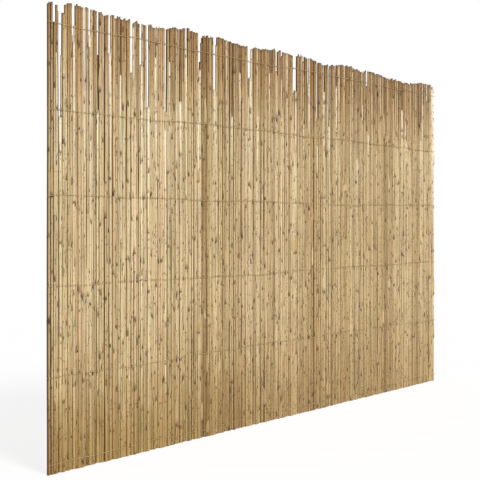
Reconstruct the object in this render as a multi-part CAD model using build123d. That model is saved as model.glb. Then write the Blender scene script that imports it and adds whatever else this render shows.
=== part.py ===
from build123d import *
import math
import os
import random

# Reed screen: upright reeds held side by side by six rows of wire.
# Each row is a straight carrier wire across the front and a thinner binding wire
# along the back that comes forward between reeds and loops round the carrier.
# Frame: origin in the middle of the foot, +X along the mat, -Y the front, +Z up.
# All sizes are millimetres.

# Mat
mat_width = 3000.0
reed_length = 1500.0
reed_pitch = 13.6            # mean distance from one visible reed to the next
reed_thickness = 10.2        # front to back, over a reed of mean width
width_spread = 0.24          # share by which one reed is wider or narrower than the mean
web_thickness = 2.6          # wall left where two neighbouring reeds touch
ridge_faces = 3              # flats that make up the round face of one reed

# Cut ends of the reeds
top_step = 3.5               # most that one top stands above or below the line of tops
foot_step = 3.0              # most that one foot ends above the ground
# The line of tops rises and falls gently: share of the width, and rise over the reed length
top_line = (
    (0.000, 3.0), (0.056, 13.0), (0.110, 1.0), (0.190, -4.0), (0.264, 12.0),
    (0.306, 0.0), (0.333, 6.0), (0.403, -7.0), (0.486, 6.0), (0.515, 0.0),
    (0.548, 4.0), (0.618, -12.0), (0.687, 4.0), (0.736, -7.0), (0.764, -1.0),
    (0.820, -14.0), (0.903, -19.0), (0.965, -1.0), (1.000, -8.0),
)

# Wire rows
first_row_drop = 57.0        # top row below the nominal top
last_row_rise = 30.0         # lowest row above the foot
row_places = (0.0, 0.195, 0.394, 0.596, 0.800, 1.0)    # share of the way from first to last row
carrier_diameter = 1.4
carrier_overhang = 6.0       # cut end of a carrier past the last reed
binding_thickness = 0.9      # the binding wire is drawn with four flats
wire_clearance = 0.1         # between the two wires, and between a wire and the reeds

# Short reeds, which leave a gap as wide as a reed from the top edge down
short_reed_pitch = 52.0      # mean distance from one short reed to the next
short_reed_drift = 0.42      # how far a short reed strays from even spacing, in spacings
short_reed_margin = 40.0     # strip at each end of the mat that has none
short_reed_drops = (365.0, 120.0, 270.0, 90.0, 330.0, 130.0, 195.0, 405.0, 150.0, 285.0, 110.0)

# Narrow gaps where the binding wires come through
tie_pitch = 250.0            # mean distance from one column of them to the next
tie_gap_width = 3.4
tie_gap_height = 36.0
tie_gap_below_row = 28.0     # how far the gap from the top edge runs on below the second row

SEED = 10


def reed_edges():
    """X of the valleys between reeds, from the left end of the mat to the right."""
    rng = random.Random(SEED)
    count = round(mat_width / reed_pitch)
    widths = [1.0 + width_spread * rng.uniform(-1.0, 1.0) for _ in range(count)]
    scale = mat_width / sum(widths)
    edges = [-mat_width / 2]
    for width in widths[:-1]:
        edges.append(edges[-1] + width * scale)
    return edges + [mat_width / 2]


def top_rise(x):
    """Rise of the line of tops at this place along the mat, eased from point to point."""
    share = x / mat_width + 0.5
    for (start, low), (end, high) in zip(top_line, top_line[1:]):
        if share <= end:
            part = (share - start) / (end - start)
            return low + (high - low) * (1 - math.cos(math.pi * part)) / 2
    return top_line[-1][1]


def row_heights():
    """Height of each wire row above the foot, from the top row down."""
    first = reed_length - first_row_drop
    return [first + (last_row_rise - first) * place for place in row_places]


def tie_valleys(edges):
    """Numbers of the valleys where the binding wires come through."""
    columns = round(mat_width / tie_pitch)
    return [round((column + 0.5) * (len(edges) - 1) / columns) for column in range(columns)]


def short_reeds(count):
    """Numbers of the reeds that end below the top edge, each with its drop."""
    rng = random.Random(SEED + 2)
    width = mat_width - 2 * short_reed_margin
    shorts = round(width / short_reed_pitch)
    drops = {}
    for number in range(shorts):
        place = number + 0.5 + short_reed_drift * rng.uniform(-1.0, 1.0)
        along = short_reed_margin + place * width / shorts
        drops[int(count * along / mat_width)] = short_reed_drops[number % len(short_reed_drops)]
    return drops


def ridge_points(left, right, side):
    """Points over one reed's round face, from its left valley up to just short of its right one."""
    rise = (reed_thickness - web_thickness) / 2 * (right - left) / reed_pitch
    crest = math.sin(math.pi * (ridge_faces // 2) / ridge_faces)
    points = []
    for step in range(ridge_faces):
        angle = math.pi * step / ridge_faces
        x = (left + right) / 2 - (right - left) / 2 * math.cos(angle)
        points.append(Vector(x, side * (web_thickness / 2 + rise * math.sin(angle) / crest), 0))
    return points


def mat_section(edges):
    """Plan of the wall: a chain of rounded reeds, front and back."""
    outline = []
    for side in (-1, 1):
        half = []
        for left, right in zip(edges, edges[1:]):
            half += ridge_points(left, right, side)
        half.append(Vector(edges[-1], side * web_thickness / 2, 0))
        outline += half if side < 0 else half[::-1]
    return Face(Wire.make_polygon(outline, close=True))


def mat_elevation(edges):
    """Front view of the wall: each reed's own top and foot, and the gaps where wires come through."""
    rng = random.Random(SEED + 1)
    drops = short_reeds(len(edges) - 1)
    ties = tie_valleys(edges)
    floor = row_heights()[1] - tie_gap_below_row
    tops = []
    feet = []
    for number, (left, right) in enumerate(zip(edges, edges[1:])):
        top = reed_length + top_rise((left + right) / 2) + top_step * rng.uniform(-1.0, 1.0)
        top -= drops.get(number, 0.0)
        foot = foot_step * max(0.0, rng.uniform(-1.0, 1.0))
        if number in ties:
            tops += [(left + tie_gap_width / 2, floor), (left + tie_gap_width / 2, top)]
        else:
            tops.append((left, top))
        if number + 1 in ties:
            tops += [(right - tie_gap_width / 2, top), (right - tie_gap_width / 2, floor)]
        else:
            tops.append((right, top))
        feet += [(left, foot), (right, foot)]
    outer = Wire.make_polygon([Vector(x, 0, z) for x, z in tops + feet[::-1]], close=True)
    holes = [tie_gap(edges[valley], z) for valley in ties for z in row_heights()[2:]]
    return Face(outer, holes)


def tie_gap(x, z):
    """Outline of one gap where a binding wire comes through below the second row."""
    across = tie_gap_width / 2
    along = tie_gap_height / 2
    corners = ((-across, -along), (across, -along), (across, along), (-across, along))
    return Wire.make_polygon([Vector(x + dx, 0, z + dz) for dx, dz in corners], close=True)


def reed_mat(edges):
    """The whole mat as one wall."""
    height = reed_length + max(rise for _, rise in top_line) + top_step
    wall = extrude(mat_section(edges), amount=height, dir=(0, 0, 1))
    view = extrude(mat_elevation(edges), amount=2 * mat_reach(edges), dir=(0, 1, 0), both=True)
    return wall & view


def mat_reach(edges):
    """How far the thickest reed stands out from the middle of the wall."""
    spans = zip(edges, edges[1:])
    return max(point.Y for left, right in spans for point in ridge_points(left, right, 1))


def carrier_wire(z, reach):
    """One straight wire across the front of the reeds."""
    radius = carrier_diameter / 2
    length = mat_width + 2 * carrier_overhang
    start = Plane(origin=(-length / 2, -reach - wire_clearance - radius, z), z_dir=(1, 0, 0))
    return extrude(start * Circle(radius), amount=length)


def binding_wire(z, reach, edges):
    """One thinner wire: along the back, and forward through each tie gap round the carrier.

    It goes down round the carrier at one gap and up at the next, so its runs along the back
    lie above and below the carrier by turns.
    """
    half = binding_thickness / 2
    back = reach + wire_clearance + half
    front = -(reach + carrier_diameter + 2 * wire_clearance + half)
    level = carrier_diameter / 2 + wire_clearance + half
    route = [Vector(edges[0], back, z + level)]
    for valley in tie_valleys(edges):
        x = edges[valley]
        corners = ((back, level), (front, level), (front, -level), (back, -level))
        route += [Vector(x, y, z + rise) for y, rise in corners]
        level = -level
    route.append(Vector(edges[-1], back, z + level))
    start = Plane(origin=route[0], z_dir=(1, 0, 0))
    section = start * Rectangle(binding_thickness, binding_thickness)
    return sweep(section, path=Polyline(*route), transition=Transition.RIGHT)


def main():
    os.makedirs("parts", exist_ok=True)
    edges = reed_edges()
    reach = mat_reach(edges)
    export_step(reed_mat(edges), "parts/reed_mat.step")
    for number, z in enumerate(row_heights(), start=1):
        export_step(carrier_wire(z, reach), f"parts/carrier_wire_{number}.step")
        export_step(binding_wire(z, reach, edges), f"parts/binding_wire_{number}.step")


if __name__ == "__main__":
    main()
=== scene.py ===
# %% [markdown]
# # A reed screen, dressed around its CAD frame
#
# The object is a roll-out mat of dry reeds, stood up as a fence panel: 3 m wide and 1.5 m high. The CAD
# frame has it as one ridged wall, with a plain wire across the front of each row and a binding wire round
# it. That is enough to measure, place and collide with, but it isn't what an eye expects from a step away.
#
# This lesson keeps the frame's sizes and builds what is seen: each reed as its own stem, with its knots,
# its cut tip and the remains of its leaf sheaths, and the six stitched rows of wire that hold them
# together.

# %% Load the frame
import math
import random
from functools import partial

import bpy
import numpy as np
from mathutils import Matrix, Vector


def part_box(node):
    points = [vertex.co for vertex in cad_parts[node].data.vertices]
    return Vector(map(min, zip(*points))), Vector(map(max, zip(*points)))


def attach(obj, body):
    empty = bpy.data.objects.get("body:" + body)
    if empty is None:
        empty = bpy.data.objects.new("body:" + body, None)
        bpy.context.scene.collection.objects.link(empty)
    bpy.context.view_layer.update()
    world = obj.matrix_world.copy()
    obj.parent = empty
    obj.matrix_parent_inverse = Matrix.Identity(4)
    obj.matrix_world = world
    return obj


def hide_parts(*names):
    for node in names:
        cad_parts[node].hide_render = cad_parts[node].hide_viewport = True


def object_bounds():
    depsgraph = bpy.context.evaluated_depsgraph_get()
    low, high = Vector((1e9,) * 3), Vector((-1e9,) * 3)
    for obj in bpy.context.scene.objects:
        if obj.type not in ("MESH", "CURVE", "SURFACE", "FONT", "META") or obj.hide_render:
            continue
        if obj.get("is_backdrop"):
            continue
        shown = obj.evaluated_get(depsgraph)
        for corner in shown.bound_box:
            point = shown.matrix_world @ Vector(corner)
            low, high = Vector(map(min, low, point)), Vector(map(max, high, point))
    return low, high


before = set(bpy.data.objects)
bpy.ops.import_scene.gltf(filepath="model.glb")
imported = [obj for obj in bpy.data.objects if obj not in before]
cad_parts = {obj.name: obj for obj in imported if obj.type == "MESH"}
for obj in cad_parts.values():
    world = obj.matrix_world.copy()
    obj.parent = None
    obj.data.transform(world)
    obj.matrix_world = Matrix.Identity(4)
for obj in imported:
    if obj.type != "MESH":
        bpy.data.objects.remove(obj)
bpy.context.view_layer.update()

# %% [markdown]
# ## The camera
#
# The mat stands on the ground and runs away from the camera to the right, so its left end looks about twice
# as high as its right end. A long lens from about five and a half metres away gives that slope. The camera
# stands at half the mat's height and looks level, so that the reeds stay upright in the picture, and a
# small shift of the lens moves the frame up instead of a tilt, as with a camera for buildings.

# %% Camera
def add(name, data):
    """A new object in the scene, made of this data."""
    thing = bpy.data.objects.new(name, data)
    bpy.context.scene.collection.objects.link(thing)
    return thing


camera_data = bpy.data.cameras.new("camera")
camera_data.lens = 99.75
camera_data.shift_y = -0.0375
camera_data.clip_start = 0.05
camera_data.clip_end = 200.0
camera = add("camera", camera_data)
camera.location = (-4.75, -2.76, 0.805)
heading = math.atan2(0.531, 0.847)
camera.rotation_euler = (math.pi / 2, 0.0, heading - math.pi / 2)
bpy.context.scene.camera = camera
print("camera looks", round(math.degrees(heading), 1), "degrees from the line of the mat")

# %% [markdown]
# ## Helpers for node trees
#
# Every repeated piece here is made by Geometry Nodes and every finish by shader nodes, and both kinds of
# tree are built in code. A tree is begun once, and from then on every helper writes into the tree that was
# begun last. So a tree reads from top to bottom like a list of steps. The main helper places a node, sets
# its choices, and joins or fills its inputs.

# %% Helpers for node trees
begun = []


def begin(tree):
    """Makes this the tree that the helpers write into."""
    begun.append(tree)
    return tree


def join(value, socket):
    """Joins an output to an input."""
    begun[-1].links.new(value, socket)


def place(kind, values=None, **choices):
    """Adds a node, sets its choices, and joins a socket or writes a value to each named input."""
    node = begun[-1].nodes.new(kind)
    for name, choice in choices.items():
        setattr(node, name, choice)
    for key, value in (values or {}).items():
        if isinstance(value, bpy.types.NodeSocket):
            join(value, node.inputs[key])
        else:
            node.inputs[key].default_value = value
    return node


def result(kind, values=None, **choices):
    """Adds a node as place does, and returns its first output."""
    return place(kind, values, **choices).outputs[0]


# %% [markdown]
# Sums are steps too. Those that come up most have short names of their own, and so have the steps that make
# a vector of three numbers, take one apart, and reckon with whole vectors.

# %% Helpers for sums and vectors
def sums(operation, a, b=0.0, c=0.0):
    """One step of arithmetic on numbers or sockets, and its result."""
    return result("ShaderNodeMath", {0: a, 1: b, 2: c}, operation=operation)


times, plus, minus, over = (partial(sums, name) for name in ("MULTIPLY", "ADD", "SUBTRACT", "DIVIDE"))
scaled = partial(sums, "MULTIPLY_ADD")  # a * b + c


def vector(x=0.0, y=0.0, z=0.0):
    """Three numbers as one vector."""
    return result("ShaderNodeCombineXYZ", {0: x, 1: y, 2: z})


def split(value):
    """The three numbers of a vector."""
    return place("ShaderNodeSeparateXYZ", {0: value}).outputs


def vectors(operation, a, b):
    """One step of arithmetic on two vectors, and its result."""
    return result("ShaderNodeVectorMath", {0: a, 1: b}, operation=operation)


# %% [markdown]
# A node group is a tree that other trees, or a piece, can use. It has named inputs and outputs, and in code
# they are a short list of labels with the values that they start from.

# %% Helper for groups
def group(name, kind, inputs, outputs):
    """Begins a node group, and returns it with what goes in and what comes out.

    An input is named with the value that it starts from, or with its kind where it has no such value.
    """
    tree = begin(bpy.data.node_groups.new(name, kind))
    for label, value in inputs.items():
        socket = value if isinstance(value, str) else {float: "Float", int: "Int"}[type(value)]
        made = tree.interface.new_socket(label, in_out="INPUT", socket_type="NodeSocket" + socket)
        if not isinstance(value, str):
            made.default_value = value
    for label, socket in outputs.items():
        tree.interface.new_socket(label, in_out="OUTPUT", socket_type="NodeSocket" + socket)
    return tree, place("NodeGroupInput").outputs, place("NodeGroupOutput").inputs


# %% [markdown]
# Geometry Nodes also pass named values along with the geometry, such as how far up a reed a point lies.
# Writing and reading them is short enough to need one helper each, and so is a number picked by chance.

# %% Helpers for named values and chance
def named(name, kind="FLOAT"):
    """Reads a named value of the geometry."""
    return result("GeometryNodeInputNamedAttribute", {"Name": name}, data_type=kind)


def store(geometry, name, value, kind="FLOAT", domain="POINT"):
    """Writes a named value onto the geometry."""
    values = {"Geometry": geometry, "Name": name, "Value": value}
    return result("GeometryNodeStoreNamedAttribute", values, data_type=kind, domain=domain)


def chance(low, high, which, seed):
    """A random number between two limits, the same at every run."""
    values = {2: low, 3: high, "ID": which, "Seed": seed}
    return place("FunctionNodeRandomValue", values, data_type="FLOAT").outputs[1]


# %% [markdown]
# ## Where the reeds stand
#
# The CAD wall is a chain of ridges, and where two ridges meet it is thinnest. Those valleys are found in
# the frame's own mesh, and between each two of them lies one ridge with its own foot and top. A low top is
# a gap, where daylight comes through the real mat. Reading them from the frame keeps every gap and the line
# of the tops where the CAD has them.

# %% Read the ridges from the frame
same_depth = 0.00005
least_ridge = 0.002
clear = 0.0006  # beside a valley, where its own corners lie
wall = np.array([v.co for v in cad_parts["reed_mat"].data.vertices])
depth = np.abs(wall[:, 1])
in_valley = depth < depth.min() + same_depth
valleys = np.unique(np.round(wall[in_valley, 0], 5))
valleys = valleys[np.append(True, np.diff(valleys) > least_ridge)]
reach = float(depth.max())
ridges = []
for left, right in zip(valleys, valleys[1:]):
    inside = ~in_valley & (wall[:, 0] > left + clear) & (wall[:, 0] < right - clear)
    ridges.append((float(left), float(right), float(wall[inside, 2].min()), float(wall[inside, 2].max())))
print(len(ridges), "ridges, reach", round(reach * 1000, 2), "mm, tops from",
      round(min(r[3] for r in ridges), 3), "to", round(max(r[3] for r in ridges), 3), "m")

# %% [markdown]
# A real mat isn't as even as the wall. The maker's stitch takes one thick reed or a thick and a thin one,
# and the thin ones end up in front of or behind their neighbours. So each ridge becomes one stout reed,
# pulled forward against the wires, and each valley gets a slim reed, in front or at the back. All of them
# stay within the wall's thickness. Where a ridge is short there is a gap, and the slim reeds beside it are
# tall and stand a little way into it. Some lean away near their tops, others stand straight and pale in it,
# so that no two gaps look the same. A short reed is a bleached one here, as most of those in the photo, and
# elsewhere about one slim reed in five is pale and one in six is dark.

# %% Set out the stout and the slim reeds
short_top = 1.46
gap_step = 0.05
bleached_stout, bleached_slim = 3, 2  # at the open end
dark_below, pale_above = 0.16, 0.80
front_share, proud_share = 0.62, 0.06
clearance, overlap = 0.0001, 0.0008
chooser = random.Random(4)
stander = random.Random(9)
stout, slim = [], []
for number, (left, right, foot, top) in enumerate(ridges):
    thick = (right - left) * chooser.uniform(0.80, 0.94)
    back = chooser.uniform(0.0, 0.0016)
    y = min(-reach + thick / 2 + back, reach - thick / 2)
    x = (left + right) / 2 + chooser.uniform(-0.0006, 0.0006)
    at_open_end = number >= len(ridges) - bleached_stout
    pale = 1.0 if top < short_top or at_open_end else chooser.uniform(-0.25, 0.25)
    stout.append((x, y, foot, top + chooser.uniform(-0.003, 0.002), thick, pale, 0.0, 0.0))
for number in range(1, len(ridges)):
    (_, valley, foot_before, top_before), (_, _, foot_after, top_after) = ridges[number - 1:number + 1]
    kind, luck = chooser.random(), chooser.random()
    pale = chooser.uniform(0.5, 0.9) * (-1.0 if luck < dark_below else 1.0 if luck > pale_above else 0.0)
    step = top_after - top_before
    beside_gap = abs(step) > gap_step
    lean = chooser.uniform(0.0026, 0.0044) * beside_gap
    filling = (0.0012 if valley < -0.9 else 0.0028) * beside_gap
    foot = max(foot_before, foot_after)
    top = max(top_before, top_after)
    lean_from = (min(top_before, top_after) - foot) / (top - foot) - 0.02
    top += chooser.uniform(-0.004, 0.003)
    stands = beside_gap and stander.random() < (0.40 if valley < -0.6 else 0.68)
    if stands:
        pale = stander.uniform(0.45, 0.80)
    elif number >= len(ridges) - bleached_slim:
        pale = 0.9
    if kind < front_share:
        thick = chooser.uniform(0.0048, 0.0074) + filling
        top += chooser.uniform(0.002, 0.005) if chooser.random() < proud_share else 0.0
        pale = abs(pale) if beside_gap else pale
        y = -reach + thick / 2 + clearance
    else:
        thick = chooser.uniform(0.0056, 0.0076) + filling
        pale = 0.4 * pale if stands or not beside_gap else 0.0
        y = reach - thick / 2
    # Off its joint by less than half its thickness, or daylight shows below the gap
    lean = math.copysign(min(lean, thick / 2 - overlap) * beside_gap, step)
    slim.append((valley - lean, y, foot, top, thick, pale, 0.0 if stands else lean, lean_from))
print(len(stout), "stout reeds and", len(slim), "slim ones")

# %% [markdown]
# ## The line of each reed
#
# A reed is a hollow stem with a knot every hand's length or two. Its line could be drawn by hand for each
# stem, but all of them follow one rule, so a node tree makes them from one point at each foot. It sets a
# row of stations up the stem, crowded close to each knot so that the swelling there can be sharp, cuts the
# line to the reed's length, and bends it a little, as no reed grows quite straight. The tree is a group of
# its own because both the stems and their leaf sheaths need it.

# %% Node group: reed lines
lines, given, out = group("Reed lines", "GeometryNodeTree", {
    "Feet": "Geometry",
    "Knot spacing": 0.28,
    "Spacing spread": 0.20,
    "Taper": 0.20,
    "Knot swelling": 0.10,
    "Bow": 0.003,
    "Seed": 1,
}, {"Lines": "Geometry"})
index = result("GeometryNodeInputIndex")
spread = given["Spacing spread"]
uneven = chance(minus(1.0, spread), plus(1.0, spread), index, given["Seed"])
feet = store(given["Feet"], "spacing", times(given["Knot spacing"], uneven))
feet = store(feet, "start", chance(0.0, 1.0, index, plus(given["Seed"], 1)))
feet = store(feet, "reed_random", chance(0.0, 1.0, index, plus(given["Seed"], 2)))
# Seven stations for each of eight stretches between knots, crowded towards the knots
stations, stretches = 7, 8
stem = result("GeometryNodeCurvePrimitiveLine", {"End": (0, 0, stretches)})
stem = result("GeometryNodeResampleCurve", {"Curve": stem, "Count": stations * stretches + 1}, mode="COUNT")
stretch = sums("FLOOR", over(index, stations))
along = sums("FRACT", over(index, stations))
past_half = sums("GREATER_THAN", along, 0.5)
near = times(sums("PINGPONG", along, 0.5), 2.0)
near = times(sums("POWER", near, 3.5), 0.5)
crowded = plus(past_half, times(near, scaled(past_half, -2.0, 1.0)))
station = vector(z=plus(stretch, crowded))
stem = result("GeometryNodeSetPosition", {"Geometry": stem, "Position": station})
height = split(result("GeometryNodeInputPosition"))[2]
stem = store(stem, "knots_up", height)
# One stem on each foot, stretched to that reed's own spacing and cut to its own length
tall = vector(1.0, 1.0, named("spacing"))
stems = result("GeometryNodeInstanceOnPoints", {"Points": feet, "Instance": stem, "Scale": tall})
stems = result("GeometryNodeRealizeInstances", {"Geometry": stems})
first = times(named("start"), named("spacing"))
last = plus(first, named("length"))
stems = result("GeometryNodeTrimCurve", {"Curve": stems, 4: first, 5: last}, mode="LENGTH")
done = minus(named("knots_up"), named("start"))
share = over(times(done, named("spacing")), named("length"))
stems = store(stems, "share", share)
# A slow bend, different in each reed
where = vector(x=times(named("reed_random"), 937.0), z=times(named("knots_up"), 0.55))
wander = place("ShaderNodeTexNoise", {"Vector": where, "Scale": 1.0, "Detail": 1.0}).outputs["Color"]
wander = vectors("SUBTRACT", wander, (0.5, 0.5, 0.5))
bend = times(given["Bow"], 2.0)
sideways = vector(bend, times(bend, 0.5))
wander = vectors("MULTIPLY", wander, sideways)
# Beside a gap a reed leans away from it near its top, so the gap narrows downwards
past = sums("MAXIMUM", minus(named("share"), named("lean_from")), 0.0)
past = over(past, minus(1.0, named("lean_from")))
leaning = times(named("lean"), sums("POWER", past, 0.8))
down = vector(x=leaning, z=times(first, -1.0))
stems = result("GeometryNodeSetPosition", {"Geometry": stems, "Offset": vectors("ADD", wander, down)})
# The radius: thinner towards the top, and swollen at the knots
beside = sums("PINGPONG", named("knots_up"), 0.5)
swollen = sums("MAXIMUM", scaled(beside, -90.0, 1.0), 0.0)
thinner = minus(1.0, times(given["Taper"], named("share")))
radius = times(times(named("thick"), 0.5), thinner)
radius = times(radius, scaled(swollen, given["Knot swelling"], 1.0))
join(store(stems, "girth", radius), out["Lines"])
print("Reed lines:", len(lines.nodes), "nodes")


def reed_lines(given):
    """The lines of the reeds inside another tree, which hands on what it is given."""
    inner = place("GeometryNodeGroup", node_tree=lines)
    for label in ("Feet", "Knot spacing", "Taper", "Knot swelling", "Bow", "Seed"):
        join(given[label], inner.inputs[label])
    return inner.outputs[0]


# %% [markdown]
# ## The stems
#
# Each line now gets a round skin of its own radius. A cut reed shows a thick wall round a hollow, and the
# saw or knife rarely goes straight across, so the top face is drawn in to a rim, pushed down to a hole, and
# tilted by a different amount in each reed. The finish paints the hole nearly black as painted shade. The
# rims are kept sharp and the sides smooth. Every tree that makes a piece ends in the same way, so a helper
# does that.

# %% Node tree: reeds
def hand_out(geometry, given, socket):
    """Ends a tree: its geometry goes out as plain mesh, in the material that the tree is given."""
    plain = result("GeometryNodeRealizeInstances", {"Geometry": geometry})
    join(result("GeometryNodeSetMaterial", {"Geometry": plain, "Material": given["Material"]}), socket)


reeds_tree, given, out = group("Reeds", "GeometryNodeTree", {
    "Feet": "Geometry",
    "Knot spacing": 0.28,
    "Taper": 0.20,
    "Knot swelling": 0.10,
    "Bow": 0.003,
    "Sides": 9,
    "Hollow": 0.55,
    "Seed": 1,
    "Material": "Material",
}, {"Reeds": "Geometry"})
stems = reed_lines(given)
position = result("GeometryNodeInputPosition")
centred = store(stems, "centre", position, "FLOAT_VECTOR")
ring = result("GeometryNodeCurvePrimitiveCircle", {"Resolution": given["Sides"], "Radius": 1.0})
skin = result("GeometryNodeCurveToMesh", {
    "Curve": centred, "Profile Curve": ring, "Scale": named("girth"), "Fill Caps": True})
# The cut top: a rim, then a hole
upward = split(result("GeometryNodeInputNormal"))[2]
is_top = sums("GREATER_THAN", upward, 0.8)
hole_depth = 0.012
rim = place("GeometryNodeExtrudeMesh", {
    "Mesh": skin, "Selection": is_top, "Offset Scale": 0.0}, mode="FACES")
inner = rim.outputs["Top"]
drawn_in = result("GeometryNodeScaleElements", {
    "Geometry": rim.outputs["Mesh"], "Selection": inner, "Scale": given["Hollow"]}, domain="FACE")
hole = place("GeometryNodeExtrudeMesh", {
    "Mesh": drawn_in, "Selection": inner, "Offset Scale": -hole_depth}, mode="FACES")
floor_and_wall = {0: hole.outputs["Top"], 1: hole.outputs["Side"]}
inside = result("FunctionNodeBooleanMath", floor_and_wall, operation="OR")
hollowed = store(hole.outputs["Mesh"], "hollow", inside, domain="FACE")
# The slant of the cut
at_tip = sums("GREATER_THAN", named("share"), 0.9999)
turn = times(named("reed_random"), 611.0)
slope = sums("POWER", sums("FRACT", times(turn, 1.7)), 2.0)
leaning = vector(sums("COSINE", turn), sums("SINE", turn))
out_from = vectors("SUBTRACT", position, named("centre", "FLOAT_VECTOR"))
across = place("ShaderNodeVectorMath", {0: out_from, 1: leaning}, operation="DOT_PRODUCT").outputs[1]
tilt = times(across, scaled(slope, 0.55, 0.08))
lift = vector(z=times(tilt, at_tip))
cut = result("GeometryNodeSetPosition", {"Geometry": hollowed, "Offset": lift})
sharp = sums("GREATER_THAN", result("GeometryNodeInputMeshEdgeAngle"), 0.85)
shaded = result("GeometryNodeSetShadeSmooth", {
    "Geometry": cut, "Shade Smooth": minus(1.0, sharp)}, domain="EDGE")
hand_out(shaded, given, out["Reeds"])
print("Reeds:", len(reeds_tree.nodes), "nodes")

# %% [markdown]
# The trees start from loose points. Each point stands at one reed's foot and carries the length and the
# thickness of that reed, how far it has bleached or darkened, and how far it leans and from what share of
# its length.

# %% Points at the feet
def start_mesh(name, points, edges=()):
    """A mesh of points and edges for a tree to start from."""
    mesh = bpy.data.meshes.new(name)
    mesh.from_pydata(points, edges, [])
    return mesh


def foot_points(name, reeds):
    """A mesh of loose points, one at the foot of each reed, with what the trees need to know of it."""
    mesh = start_mesh(name, [reed[:3] for reed in reeds])
    carried = [(reed[3] - reed[2], *reed[4:]) for reed in reeds]
    for label, values in zip(("length", "thick", "pale", "lean", "lean_from"), zip(*carried)):
        mesh.attributes.new(label, "FLOAT", "POINT").data.foreach_set("value", values)
    return mesh


stout_feet = foot_points("stout_feet", stout)
slim_feet = foot_points("slim_feet", slim)
print(len(stout_feet.vertices) + len(slim_feet.vertices), "feet")

# %% [markdown]
# ## Leaf sheaths
#
# The leaves of a reed grow from the knots, and each one starts as a sheath wrapped round the stem. Most of
# it is stripped off when the reeds are cleaned, but on many knots a pale, papery strip stays. It could be
# painted on, but close up it has an edge that stands off the stem. So a small curved strip, wide at the
# knot and pointed at its upper end, is placed on knots picked by chance.

# %% Node tree: leaf sheaths
sheaths_tree, given, out = group("Leaf sheaths", "GeometryNodeTree", {
    "Feet": "Geometry",
    "Knot spacing": 0.28,
    "Taper": 0.20,
    "Knot swelling": 0.10,
    "Bow": 0.003,
    "Seed": 1,
    "How many": 0.3,
    "Shortest": 0.04,
    "Longest": 0.13,
    "Wrap": 3.6,
    "Material": "Material",
}, {"Sheaths": "Geometry"})
stems = reed_lines(given)
# The strip: a flat grid bent round an upright line, narrower and tighter towards its upper end
grid = result("GeometryNodeMeshGrid", {"Size X": 1.0, "Size Y": 1.0, "Vertices X": 7, "Vertices Y": 5})
flat = split(result("GeometryNodeInputPosition"))
rise = plus(flat[1], 0.5)
narrow = minus(1.0, times(sums("POWER", rise, 1.8), 0.85))
bent = times(times(flat[0], given["Wrap"]), narrow)
stand_off = scaled(rise, -0.05, 1.13)
strip_place = vector(times(sums("COSINE", bent), stand_off), times(sums("SINE", bent), stand_off), rise)
strip = result("GeometryNodeSetPosition", {"Geometry": grid, "Position": strip_place})
strip = store(strip, "strip_rise", split(result("GeometryNodeInputPosition"))[2])
# Its places: at the knots, on reeds picked by chance
spots = result("GeometryNodeCurveToPoints", {"Curve": stems}, mode="EVALUATED")
spot = result("GeometryNodeInputIndex")
beside = sums("PINGPONG", named("knots_up"), 0.5)
at_knot = sums("LESS_THAN", beside, 0.001)
below_tip = sums("LESS_THAN", named("share"), 0.86)
seed = given["Seed"]
picked = sums("LESS_THAN", chance(0.0, 1.0, spot, plus(seed, 3)), given["How many"])
wanted = times(times(at_knot, below_tip), picked)
tall = chance(given["Shortest"], given["Longest"], spot, plus(seed, 4))
radius = named("girth")
size = vector(radius, radius, tall)
turned = vector(z=chance(0.0, 2 * math.pi, spot, plus(seed, 5)))
strips = result("GeometryNodeInstanceOnPoints", {
    "Points": spots, "Selection": wanted, "Instance": strip, "Scale": size,
    "Rotation": result("FunctionNodeEulerToRotation", {0: turned})})
strips = result("GeometryNodeRealizeInstances", {"Geometry": strips})
paper = 0.00025
thick = result("GeometryNodeExtrudeMesh", {
    "Mesh": strips, "Offset Scale": paper, "Individual": False}, mode="FACES")
hand_out(thick, given, out["Sheaths"])
print("Leaf sheaths:", len(sheaths_tree.nodes), "nodes")

# %% [markdown]
# ## The wires
#
# Each row has two wires. The carrier lies straight across the front, and the thinner binding wire runs
# along the back and comes forward between the reeds to loop over the carrier, so the front shows a thin
# line with a stitch every centimetre or so. The carrier isn't quite level in the photo, because each reed
# pulls it a little up or down. One small function gives that wave, so that both wires of a row share it.

# %% Rows
wave_height = 0.0034


def row_wave(row, x):
    """How far row number row runs above its level at this place along the mat."""
    slow = math.sin(2.1 * x + 1.9 * row) + 0.6 * math.sin(5.3 * x + 4.1 * row)
    quick = 0.5 * math.sin(11.0 * x + 2.3 * row) + 0.3 * math.sin(29.0 * x + 5.7 * row)
    return wave_height * (slow + quick)


rows = []
for row in range(1, 7):
    low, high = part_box(f"carrier_wire_{row}")
    rows.append((low.x, high.x, (low.y + high.y) / 2, (low.z + high.z) / 2))
carrier_radius = (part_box("carrier_wire_1")[1].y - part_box("carrier_wire_1")[0].y) / 2
binding_low, binding_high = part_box("binding_wire_1")
print("rows at", [round(row[3], 3) for row in rows], "m")
print("carrier radius", round(carrier_radius * 1000, 2), "mm")

# %% [markdown]
# The carrier is a line of points swept with a small circle, and the other two wires are swept in the same
# way. Its tree takes the line as a chain of edges, so one run makes all six.

# %% Node tree: carrier wire
def swept(line, given):
    """A round wire along a line, closed at its ends, as thick as its tree is given."""
    size = {"Resolution": given["Sides"], "Radius": given["Radius"]}
    ring = result("GeometryNodeCurvePrimitiveCircle", size)
    return result("GeometryNodeCurveToMesh", {"Curve": line, "Profile Curve": ring, "Fill Caps": True})


carrier_tree, given, out = group("Carrier wire", "GeometryNodeTree", {
    "Lines": "Geometry",
    "Radius": 0.0009,
    "Sides": 8,
    "Material": "Material",
}, {"Wires": "Geometry"})
line = result("GeometryNodeMeshToCurve", {"Mesh": given["Lines"]})
hand_out(swept(line, given), given, out["Wires"])
print("Carrier wire:", len(carrier_tree.nodes), "nodes")

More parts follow.
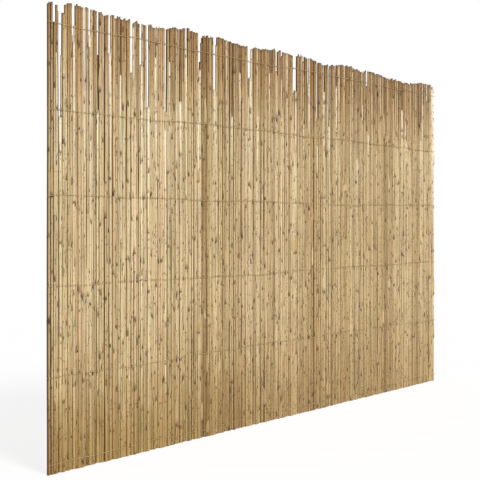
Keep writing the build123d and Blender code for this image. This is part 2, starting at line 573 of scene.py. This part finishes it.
# %% Chains of points for the carriers
def chain(name, runs):
    """A mesh of open chains of edges, one for each run of points."""
    points, edges = [], []
    for run in runs:
        start = len(points)
        points += run
        edges += [(n, n + 1) for n in range(start, len(points) - 1)]
    return start_mesh(name, points, edges)


pieces_of_line = 150
carrier_runs = []
for row, (x0, x1, y, z) in enumerate(rows):
    stops = [x0 + (x1 - x0) * n / pieces_of_line for n in range(pieces_of_line + 1)]
    carrier_runs.append([(x, y, z + row_wave(row, x)) for x in stops])
carrier_lines = chain("carrier_lines", carrier_runs)
print(len(carrier_lines.vertices), "points on", len(carrier_runs), "carriers")

# %% [markdown]
# The binding wire repeats one movement at every valley: forward between two reeds, over the carrier, and
# back. Its tree takes one point at each valley, copies it six times, moves each copy to its own corner of
# that movement, joins all the copies of a row into one line, and sweeps the wire along it.

# %% Node tree: binding wire
binding_tree, given, out = group("Binding wire", "GeometryNodeTree", {
    "Valleys": "Geometry",
    "Front": -0.0085,
    "Back": 0.0066,
    "Stitch width": 0.0026,
    "Stitch height": 0.0028,
    "Radius": 0.00055,
    "Sides": 6,
    "Material": "Material",
}, {"Wires": "Geometry"})
corners = result("GeometryNodeMeshToPoints", {"Mesh": given["Valleys"], "Radius": 0.001})
corners = store(corners, "order", result("GeometryNodeInputIndex"), "INT")
copies = place("GeometryNodeDuplicateElements", {"Geometry": corners, "Amount": 6}, domain="POINT")
copy = copies.outputs["Duplicate Index"]
at_front = sums("COMPARE", copy, 2.5, 0.9)
aside = minus(sums("GREATER_THAN", copy, 2.5), 0.5)
depth_there = scaled(at_front, minus(given["Front"], given["Back"]), given["Back"])
middle = times(plus(given["Front"], given["Back"]), 0.5)
at_middle = plus(sums("COMPARE", copy, 1.0, 0.1), sums("COMPARE", copy, 4.0, 0.1))
depth_there = result("ShaderNodeMix", {0: at_middle, 2: depth_there, 3: middle}, data_type="FLOAT")
valley = split(result("GeometryNodeInputPosition"))
across = scaled(aside, given["Stitch width"], valley[0])
upward = scaled(aside, given["Stitch height"], valley[2])
corner_place = vector(across, depth_there, upward)
corners = result("GeometryNodeSetPosition", {"Geometry": copies.outputs[0], "Position": corner_place})
corners = store(corners, "turn", scaled(named("order", "INT"), 10.0, copy))
runs = result("GeometryNodePointsToCurves", {
    "Points": corners, "Curve Group ID": named("row", "INT"), "Weight": named("turn")})
hand_out(swept(runs, given), given, out["Wires"])
print("Binding wire:", len(binding_tree.nodes), "nodes")

# %% [markdown]
# At both ends of a row the binding wire is wound a few times round the end of the carrier, so that nothing
# comes loose. Each winding is a short spiral on its side.

# %% Node tree: end windings
windings_tree, given, out = group("End windings", "GeometryNodeTree", {
    "Ends": "Geometry",
    "Turns": 4.0,
    "Winding radius": 0.0012,
    "Winding length": 0.0042,
    "Radius": 0.00045,
    "Sides": 6,
    "Material": "Material",
}, {"Windings": "Geometry"})
spiral = result("GeometryNodeCurveSpiral", {
    "Resolution": 14, "Rotations": given["Turns"], "Start Radius": given["Winding radius"],
    "End Radius": given["Winding radius"], "Height": given["Winding length"]})
on_side = result("FunctionNodeEulerToRotation", {0: (0.0, math.pi / 2, 0.0)})
windings = result("GeometryNodeInstanceOnPoints", {
    "Points": given["Ends"], "Instance": swept(spiral, given), "Rotation": on_side})
hand_out(windings, given, out["Windings"])
print("End windings:", len(windings_tree.nodes), "nodes")

# %% Points at the valleys and at the ends
stitch_points, stitch_rows = [], []
for row, (x0, x1, y, z) in enumerate(rows):
    for x in valleys[1:-1]:
        stitch_points.append((float(x), 0.0, z + row_wave(row, x)))
        stitch_rows.append(row)
stitches = start_mesh("stitches", stitch_points)
stitches.attributes.new("row", "INT", "POINT").data.foreach_set("value", stitch_rows)
from_left, from_right = 0.0006, 0.0048
row_ends = []
for row, (x0, x1, y, z) in enumerate(rows):
    row_ends += [(x0 + from_left, y, z + row_wave(row, x0)), (x1 - from_right, y, z + row_wave(row, x1))]
winding_ends = start_mesh("winding_ends", row_ends)
print(len(stitch_points), "stitches,", len(row_ends), "ends")

# %% [markdown]
# ## Finishes: helpers
#
# Colours are written as they look on screen, from 0 to 255, and turned into the linear values that the
# shader works with. A ramp, a mix of two colours and a smooth change are used so often that each gets a
# helper.

# %% Helpers for colours
def colour(red, green, blue):
    """A colour as seen on screen, 0 to 255, as the linear values that a shader needs."""
    parts = [c / 255 for c in (red, green, blue)]
    return tuple(c / 12.92 if c <= 0.04045 else ((c + 0.055) / 1.055) ** 2.4 for c in parts) + (1.0,)


def ramp(value, stops):
    """Colours set out along a line, picked by a value from 0 to 1."""
    node = place("ShaderNodeValToRGB", {0: value})
    elements = node.color_ramp.elements
    elements.remove(elements[1])
    elements[0].position, elements[0].color = stops[0][0], stops[0][1]
    for position, shade in stops[1:]:
        elements.new(position).color = shade
    return node.outputs[0]


def mixed(share, a, b, blend="MIX"):
    """Colour b laid over colour a by a share from 0 to 1."""
    return place("ShaderNodeMix", {0: share, 6: a, 7: b}, data_type="RGBA", blend_type=blend).outputs[2]


def fade(value, start, end, low=0.0, high=1.0):
    """A smooth change from low to high while a value goes from start to end."""
    values = {"Value": value, "From Min": start, "From Max": end, "To Min": low, "To Max": high}
    return result("ShaderNodeMapRange", values, interpolation_type="SMOOTHSTEP")


# %% [markdown]
# The other helpers begin a material and read what a shader can know: a number that the geometry carries,
# and where the lit point lies on the mat.

# %% Helpers for materials
def new_finish(name):
    """Begins a material, and returns it with its main shader."""
    finish = bpy.data.materials.new(name)
    finish.use_nodes = True
    return finish, begin(finish.node_tree).nodes["Principled BSDF"]


def attribute(name):
    """A number that the geometry carries, as a shader reads it."""
    return place("ShaderNodeAttribute", attribute_name=name).outputs["Fac"]


def object_place():
    """The place of the lit point on the mat, in metres."""
    return place("ShaderNodeTexCoord").outputs["Object"]


# %% [markdown]
# ## Grain and weather, shared by reeds and sheaths
#
# Reed is made of straight fibres, so its grain is a noise that is stretched along the stem: very fine
# across it, and centimetres long up it. Leaf sheaths have the same grain, only coarser, so it is a group
# that both use.

# %% Shader group: fibre grain
grain, given, out = group("Fibre grain", "ShaderNodeTree", {
    "Fineness": 1300.0,
    "Stretch": 90.0,
    "Offset": 0.0,
}, {"Fibre": "Float"})
spot = split(object_place())
fine = given["Fineness"]
up = scaled(spot[2], over(fine, given["Stretch"]), given["Offset"])
stretched = vector(times(spot[0], fine), times(spot[1], fine), up)
fibre = result("ShaderNodeTexNoise", {"Vector": stretched, "Scale": 1.0, "Detail": 3.0, "Roughness": 0.6})
join(fibre, out["Fibre"])
print("Fibre grain:", len(grain.nodes), "nodes")

# %% [markdown]
# A mat that has been stored and rained on darkens where damp stays: at its foot, more so at one end, and in
# broad upright bands where a bundle of reeds was older than the next. It is a little duller towards the
# middle too, and darker towards the top. The group also gives a mask of painted shade, with some dust,
# between the reeds, where a point lies near the middle plane of the mat. The sheaths lie in the same damp,
# so this is a group as well.

# %% Shader group: weather and painted shade
weather_and_shade, given, out = group("Weather and shade", "ShaderNodeTree", {
    "Foot height": 0.62,
    "Band width": 3.6,
}, {label: "Float" for label in ("Foot", "Top", "Valley", "Band", "Stain")})
spot = split(object_place())
patches = vector(times(spot[0], 60.0), 0.0, times(spot[2], 9.0))
patch = result("ShaderNodeTexNoise", {"Vector": patches, "Scale": 1.0, "Detail": 2.0})
edge = times(given["Foot height"], times(patch, 2.0))
low = fade(over(spot[2], edge), 0.0, 1.0, 1.0, 0.0)
wetter = fade(spot[0], -1.4, 1.0, 1.0, 0.55)
join(times(sums("POWER", low, 1.3), wetter), out["Foot"])
join(fade(plus(spot[2], times(patch, 0.3)), 1.25, 1.60), out["Top"])
# Painted shade, with some dust, between the reeds: darker near the middle plane of the mat
join(fade(sums("ABSOLUTE", spot[1]), 0.0004, 0.0026, 1.0, 0.0), out["Valley"])
wide = vector(times(spot[0], given["Band width"]), 4.3, 0.0)
band = result("ShaderNodeTexNoise", {"Vector": wide, "Scale": 1.0, "Detail": 3.0, "Roughness": 0.62})
duller = minus(fade(spot[0], -1.2, -0.7, 0.0, 0.28), fade(spot[0], 0.5, 1.1, 0.0, 0.15))
join(plus(fade(band, 0.38, 0.66), duller), out["Band"])
runs = vector(times(spot[0], 170.0), times(spot[1], 170.0), times(spot[2], 5.0))
stain = result("ShaderNodeTexNoise", {"Vector": runs, "Scale": 1.0, "Detail": 3.0, "Roughness": 0.55})
join(fade(stain, 0.50, 0.70), out["Stain"])
print("Weather:", len(weather_and_shade.nodes), "nodes")

# %% [markdown]
# ## The reed
#
# No two reeds have the same colour. Most are straw, many lean to orange, olive or pinkish beige, a few are
# nearly white and a few are brown. Each reed picks its tone from a ramp by its own random number. Between
# two knots the tone changes again, because each stretch was covered by its own leaf for part of its life.

# %% Material: reed, its tones
many = 5000.0  # spreads the random numbers of the reeds far enough apart to pick noise by
reed_finish, shader = new_finish("reed")
reed = reed_finish.node_tree
knots_up, reed_random = attribute("knots_up"), attribute("reed_random")
reed_number = times(reed_random, many)
tone = result("ShaderNodeTexWhiteNoise", {"W": reed_number}, noise_dimensions="1D")
tones = ramp(tone, [
    (0.00, colour(104, 74, 36)), (0.06, colour(136, 104, 56)), (0.15, colour(168, 132, 80)),
    (0.32, colour(196, 156, 112)), (0.50, colour(200, 174, 112)), (0.58, colour(158, 149, 92)),
    (0.68, colour(184, 172, 112)), (0.76, colour(208, 160, 114)), (0.86, colour(212, 186, 148)),
    (0.94, colour(226, 206, 150)), (1.00, colour(240, 222, 182))])
stretch = vector(reed_number, sums("FLOOR", knots_up))
between = place("ShaderNodeTexWhiteNoise", {"Vector": stretch}, noise_dimensions="2D").outputs
stretch_tones = ramp(between[0], [
    (0.00, colour(120, 90, 46)), (0.14, colour(158, 122, 68)), (0.40, colour(200, 162, 122)),
    (0.58, colour(160, 152, 90)), (0.74, colour(206, 168, 120)), (0.90, colour(214, 192, 144)),
    (1.00, colour(234, 214, 170))])
base = mixed(0.58, tones, stretch_tones)
here = split(object_place())
pale = attribute("pale")
bleached = times(sums("MAXIMUM", pale, 0.0), fade(here[2], 0.70, 1.30, 0.36, 1.0))
# The last reeds at the open end have bleached most
open_edge = fade(here[0], 1.455, 1.470)
whitening = scaled(open_edge, 0.18, fade(here[0], -1.0, -0.3, 0.94, 0.78))
base = mixed(times(bleached, whitening), base, colour(253, 243, 214))
base = mixed(sums("MAXIMUM", times(pale, -1.0), 0.0), base, colour(92, 64, 28))
print("reed tones:", len(reed.nodes), "nodes so far")

# %% [markdown]
# The fibres come next, then a painted highlight along each reed's crest, then what the weather did: a few
# long grey stains, broad bands, browner at the foot and darker towards the top. Painted shade darkens the
# reeds where they meet: between them, with some dust, and on their flanks. Each is one colour laid over the
# last by a mask.

# %% Material: reed, its fibres, weather, painted highlight and painted shade
fibres = result("ShaderNodeGroup", {"Offset": reed_number}, node_tree=grain)
aged_and_shaded = place("ShaderNodeGroup", node_tree=weather_and_shade).outputs
base = mixed(fade(fibres, 0.34, 0.62, 0.42, 0.0), base, colour(128, 96, 56))
base = mixed(fade(fibres, 0.56, 0.74, 0.0, 0.42), base, colour(230, 208, 160))
# Painted highlight: a pale cream along the front and back crest of each reed
middle = split(place("ShaderNodeAttribute", attribute_name="centre").outputs["Vector"])
from_side = over(sums("ABSOLUTE", minus(here[1], middle[1])), attribute("girth"))
base = mixed(fade(from_side, 0.68, 0.94, 0.0, 0.46), base, colour(247, 231, 190))
base = mixed(times(aged_and_shaded["Stain"], 0.50), base, colour(112, 88, 52))
unbleached = scaled(bleached, -0.6, 1.0)
base = mixed(times(aged_and_shaded["Band"], 0.66), base, colour(202, 187, 154), "MULTIPLY")
base = mixed(times(aged_and_shaded["Foot"], 0.95), base, colour(196, 179, 134), "MULTIPLY")
top_mask = times(aged_and_shaded["Top"], times(unbleached, 0.90))
base = mixed(top_mask, base, colour(206, 182, 148), "MULTIPLY")
# Painted shade, with some dust, between the reeds, weaker on bleached reeds
valley_shade_mask = times(aged_and_shaded["Valley"], times(unbleached, 0.95))
base = mixed(valley_shade_mask, base, colour(58, 38, 14))
# Painted shade on each reed's flanks, where it touches its neighbours, darker than its crest
flank_shade_mask = times(fade(from_side, 0.26, 0.66, 0.98, 0.0), unbleached)
flank_shade_mask = times(flank_shade_mask, fade(between[0], 0.30, 1.0, 1.0, 0.55))
base = mixed(flank_shade_mask, base, colour(72, 48, 18))
# A bleached reed is whitest at its tip, where it stood in the open
whitest = fade(attribute("share"), 0.80, 1.0, 0.0, 0.4)
whitest = scaled(open_edge, 0.22, whitest)
base = mixed(times(whitest, times(bleached, bleached)), base, colour(254, 247, 230))
print("reed weathered:", len(reed.nodes), "nodes so far")

# %% [markdown]
# At each knot the leaf left a dark ring, and often a brown or black smear round it, broken into blotches.
# The distance from the nearest knot is worked out from the value that the stems carry. Some knots are
# clean, so each one has its own strength. Small dark flecks lie between the knots as well, more of them low
# down and towards the far end.

# %% Material: reed, its knots
halfway = sums("FRACT", plus(knots_up, 0.5))
above = times(minus(halfway, 0.5), attribute("spacing"))
knot = vector(reed_number, sums("ROUND", knots_up))
of_knot = split(place("ShaderNodeTexWhiteNoise", {"Vector": knot}, noise_dimensions="2D").outputs[1])
ring_strength = scaled(of_knot[0], 0.45, 0.15)
ring_mask = times(fade(sums("ABSOLUTE", above), 0.0005, 0.0018, 1.0, 0.0), ring_strength)
blotches = vectors("MULTIPLY", object_place(), (430.0, 430.0, 42.0))
blotch = result("ShaderNodeTexNoise", {"Vector": blotches, "Scale": 1.0, "Detail": 2.0})
smear_top = scaled(of_knot[1], 0.026, 0.008)
upper = fade(over(above, smear_top), 0.25, 1.0, 1.0, 0.0)
lower = fade(above, -0.008, -0.002)
smear = times(times(upper, lower), fade(blotch, 0.40, 0.50))
smear = times(smear, fade(of_knot[2], 0.08, 0.44))
smear_colour = mixed(fade(between[0], 0.50, 0.72), colour(50, 32, 14), colour(126, 82, 34))
base = mixed(times(smear, 0.94), base, smear_colour)
flecks = vectors("MULTIPLY", object_place(), (230.0, 230.0, 72.0))
fleck = result("ShaderNodeTexNoise", {"Vector": flecks, "Scale": 1.0, "Detail": 1.0})
fleck = plus(fleck, fade(here[0], -0.8, 0.4, 0.0, 0.01))
fleck = plus(fleck, fade(here[2], 0.3, 0.9, 0.01, 0.0))
base = mixed(fade(fleck, 0.66, 0.69, 0.0, 0.90), base, colour(84, 58, 28))
base = mixed(ring_mask, base, colour(86, 60, 34))
print("reed with knots:", len(reed.nodes), "nodes so far")

# %% [markdown]
# The cut tips are grey-brown, and the hollow in each is painted nearly black as painted shade. The skin of
# a reed is waxy, so it has a soft sheen, which the fibres break up, both in the roughness and as fine
# grooves.

# %% Material: reed, its tips and its sheen
tip = fade(attribute("share"), 0.987, 0.9995)
base = mixed(times(tip, times(unbleached, 0.55)), base, colour(98, 74, 46))
# Painted shade: the floor and wall of each hole nearly black
base = mixed(attribute("hollow"), base, colour(38, 27, 17))
join(base, shader.inputs["Base Color"])
join(fade(fibres, 0.3, 0.7, 0.36, 0.58), shader.inputs["Roughness"])
shader.inputs["Specular IOR Level"].default_value = 0.34
grooves = result("ShaderNodeBump", {"Height": fibres, "Strength": 0.5, "Distance": 0.0004})
join(grooves, shader.inputs["Normal"])
print("reed:", len(reed.nodes), "nodes")

# %% [markdown]
# ## Leaf sheath and wire
#
# A sheath is paler, greyer and duller than the stem, like paper, with coarse ribs, and it is brown at the
# knot that it grows from.

# %% Material: leaf sheath
sheath_finish, shader = new_finish("leaf_sheath")
number = times(attribute("reed_random"), many)
tone = result("ShaderNodeTexWhiteNoise", {"W": number}, noise_dimensions="1D")
base = ramp(tone, [(0.0, colour(172, 140, 90)), (0.5, colour(192, 164, 116)), (1.0, colour(214, 194, 150))])
ribs = result("ShaderNodeGroup", {"Fineness": 900.0, "Offset": number}, node_tree=grain)
aged_and_shaded = place("ShaderNodeGroup", node_tree=weather_and_shade).outputs
base = mixed(fade(ribs, 0.36, 0.6, 0.42, 0.0), base, colour(136, 108, 70))
base = mixed(times(aged_and_shaded["Foot"], 0.5), base, colour(128, 98, 58))
base = mixed(fade(attribute("strip_rise"), 0.0, 0.22, 0.75, 0.0), base, colour(74, 52, 32))
join(base, shader.inputs["Base Color"])
join(fade(ribs, 0.3, 0.7, 0.62, 0.8), shader.inputs["Roughness"])
raised = result("ShaderNodeBump", {"Height": ribs, "Strength": 0.6, "Distance": 0.0005})
join(raised, shader.inputs["Normal"])
print("leaf sheath:", len(sheath_finish.node_tree.nodes), "nodes")

# %% [markdown]
# The carrier has faded until it is nearly as pale as the reeds, and the binding wire is a darker brown, so
# a row reads as a line of dots. Patches of rust come and go along both, rougher and darker than the rest,
# and the bare patches still shine a little.

# %% Material: wire
def wire_finish(name, dull, rust):
    """A dull wire with patches of rust."""
    finish, shader = new_finish(name)
    patch = result("ShaderNodeTexNoise", {"Vector": object_place(), "Scale": 140.0, "Detail": 4.0})
    rusty = fade(patch, 0.42, 0.62)
    join(mixed(rusty, dull, rust), shader.inputs["Base Color"])
    join(fade(rusty, 0.0, 1.0, 0.42, 0.85), shader.inputs["Roughness"])
    join(fade(rusty, 0.0, 1.0, 0.3, 0.05), shader.inputs["Metallic"])
    pits = result("ShaderNodeBump", {"Height": patch, "Strength": 0.4, "Distance": 0.0002})
    join(pits, shader.inputs["Normal"])
    return finish


carrier_finish = wire_finish("carrier_wire", colour(216, 192, 142), colour(190, 162, 110))
binding_finish = wire_finish("binding_wire", colour(126, 98, 50), colour(100, 76, 38))
print("two wires' finishes")

# %% [markdown]
# ## Making the pieces
#
# The stout reeds stand for the CAD wall, and the new wires stand for the plain ones. All of them ride on
# the frame's one body.

# %% Reeds and sheaths
def made_mesh(name, start, tree, settings):
    """Runs a tree on the starting mesh, and returns the result as a plain mesh object."""
    maker = add(name + "_maker", start)
    modifier = maker.modifiers.new(name, "NODES")
    modifier.node_group = tree
    sockets = {s.name: s.identifier for s in tree.interface.items_tree if s.in_out == "INPUT"}
    for label, value in settings.items():
        modifier[sockets[label]] = value
    graph = bpy.context.evaluated_depsgraph_get()
    mesh = bpy.data.meshes.new_from_object(maker.evaluated_get(graph), depsgraph=graph)
    maker.modifiers.remove(modifier)
    bpy.data.objects.remove(maker)
    mesh.calc_loop_triangles()
    print(name, "has", len(mesh.loop_triangles), "triangles")
    return add(name, mesh)


growth = {"Knot spacing": 0.25, "Taper": 0.16, "Knot swelling": 0.10, "Bow": 0.0032, "Seed": 7}
slim_growth = {**growth, "Knot spacing": 0.21, "Seed": 21}
reeds = made_mesh("reeds", stout_feet, reeds_tree, {**growth, "Sides": 9, "Material": reed_finish})
slim_reeds = made_mesh("slim_reeds", slim_feet, reeds_tree, {
    **slim_growth, "Sides": 7, "Material": reed_finish})
sheaths = made_mesh("leaf_sheaths", stout_feet, sheaths_tree, {
    **growth, "How many": 0.28, "Material": sheath_finish})
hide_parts("reed_mat")
for piece in (reeds, slim_reeds, sheaths):
    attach(piece, "root")

# %% Wires
binding_radius = 0.00045
carriers = made_mesh("carrier_wires", carrier_lines, carrier_tree, {
    "Radius": carrier_radius, "Material": carrier_finish})
bindings = made_mesh("binding_wires", stitches, binding_tree, {
    "Front": binding_low.y + binding_radius, "Back": binding_high.y - binding_radius,
    "Radius": binding_radius, "Material": binding_finish})
windings = made_mesh("end_windings", winding_ends, windings_tree, {
    "Winding radius": carrier_radius + binding_radius, "Material": binding_finish})
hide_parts(*(f"carrier_wire_{row}" for row in range(1, 7)))
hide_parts(*(f"binding_wire_{row}" for row in range(1, 7)))
for piece in (carriers, bindings, windings):
    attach(piece, "root")

# %% [markdown]
# ## Floor and light
#
# The photo has a plain white ground. A very pale floor does most of that, and where the camera sees it,
# some white light of its own is added, which lifts it to white and still leaves the mat's soft shadow. The
# world is white to the camera and in reflections, and a plain grey light on everything else.

# %% Floor
def seen_directly():
    """One for what the camera sees itself, in a reflection or through glass, and none for other light."""
    path = place("ShaderNodeLightPath").outputs
    bent = sums("MAXIMUM", path["Is Glossy Ray"], path["Is Transmission Ray"])
    return sums("MAXIMUM", path["Is Camera Ray"], bent)


floor_mesh = bpy.data.meshes.new("floor")
floor_mesh.from_pydata([(-60, -60, 0), (60, -60, 0), (60, 60, 0), (-60, 60, 0)], [], [(0, 1, 2, 3)])
floor = add("floor", floor_mesh)
floor_finish, shader = new_finish("pale_floor")
shader.inputs["Base Color"].default_value = (0.93, 0.93, 0.93, 1.0)
shader.inputs["Roughness"].default_value = 0.9
glow = result("ShaderNodeEmission", {"Color": (1.0, 1.0, 1.0, 1.0), "Strength": 1.02})
lifted = result("ShaderNodeMixShader", {0: times(seen_directly(), 0.82), 1: shader.outputs[0], 2: glow})
join(lifted, floor_finish.node_tree.nodes["Material Output"].inputs["Surface"])
floor_mesh.materials.append(floor_finish)
floor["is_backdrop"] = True
print("floor made")

# %% World and lamps
world = bpy.data.worlds.new("plain_world")
bpy.context.scene.world = world
world.use_nodes = True
background = begin(world.node_tree).nodes["Background"]
background.inputs["Color"].default_value = (1.0, 1.0, 1.0, 1.0)
join(fade(seen_directly(), 0.0, 1.0, 0.34, 1.0), background.inputs["Strength"])
lamp_data = bpy.data.lights.new("soft_sun", "SUN")
lamp_data.energy = 3.0
lamp_data.angle = math.radians(16)
lamp = add("soft_sun", lamp_data)
lamp.rotation_euler = (math.radians(52), 0.0, math.radians(-26))
bpy.context.scene.view_settings.view_transform = "Standard"
print("lit")

# %% [markdown]
# ## The size, and the end
#
# The dressed mat should keep the frame's size, so the box round all the shown pieces is found.

# %% Sizes and finish
low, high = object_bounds()
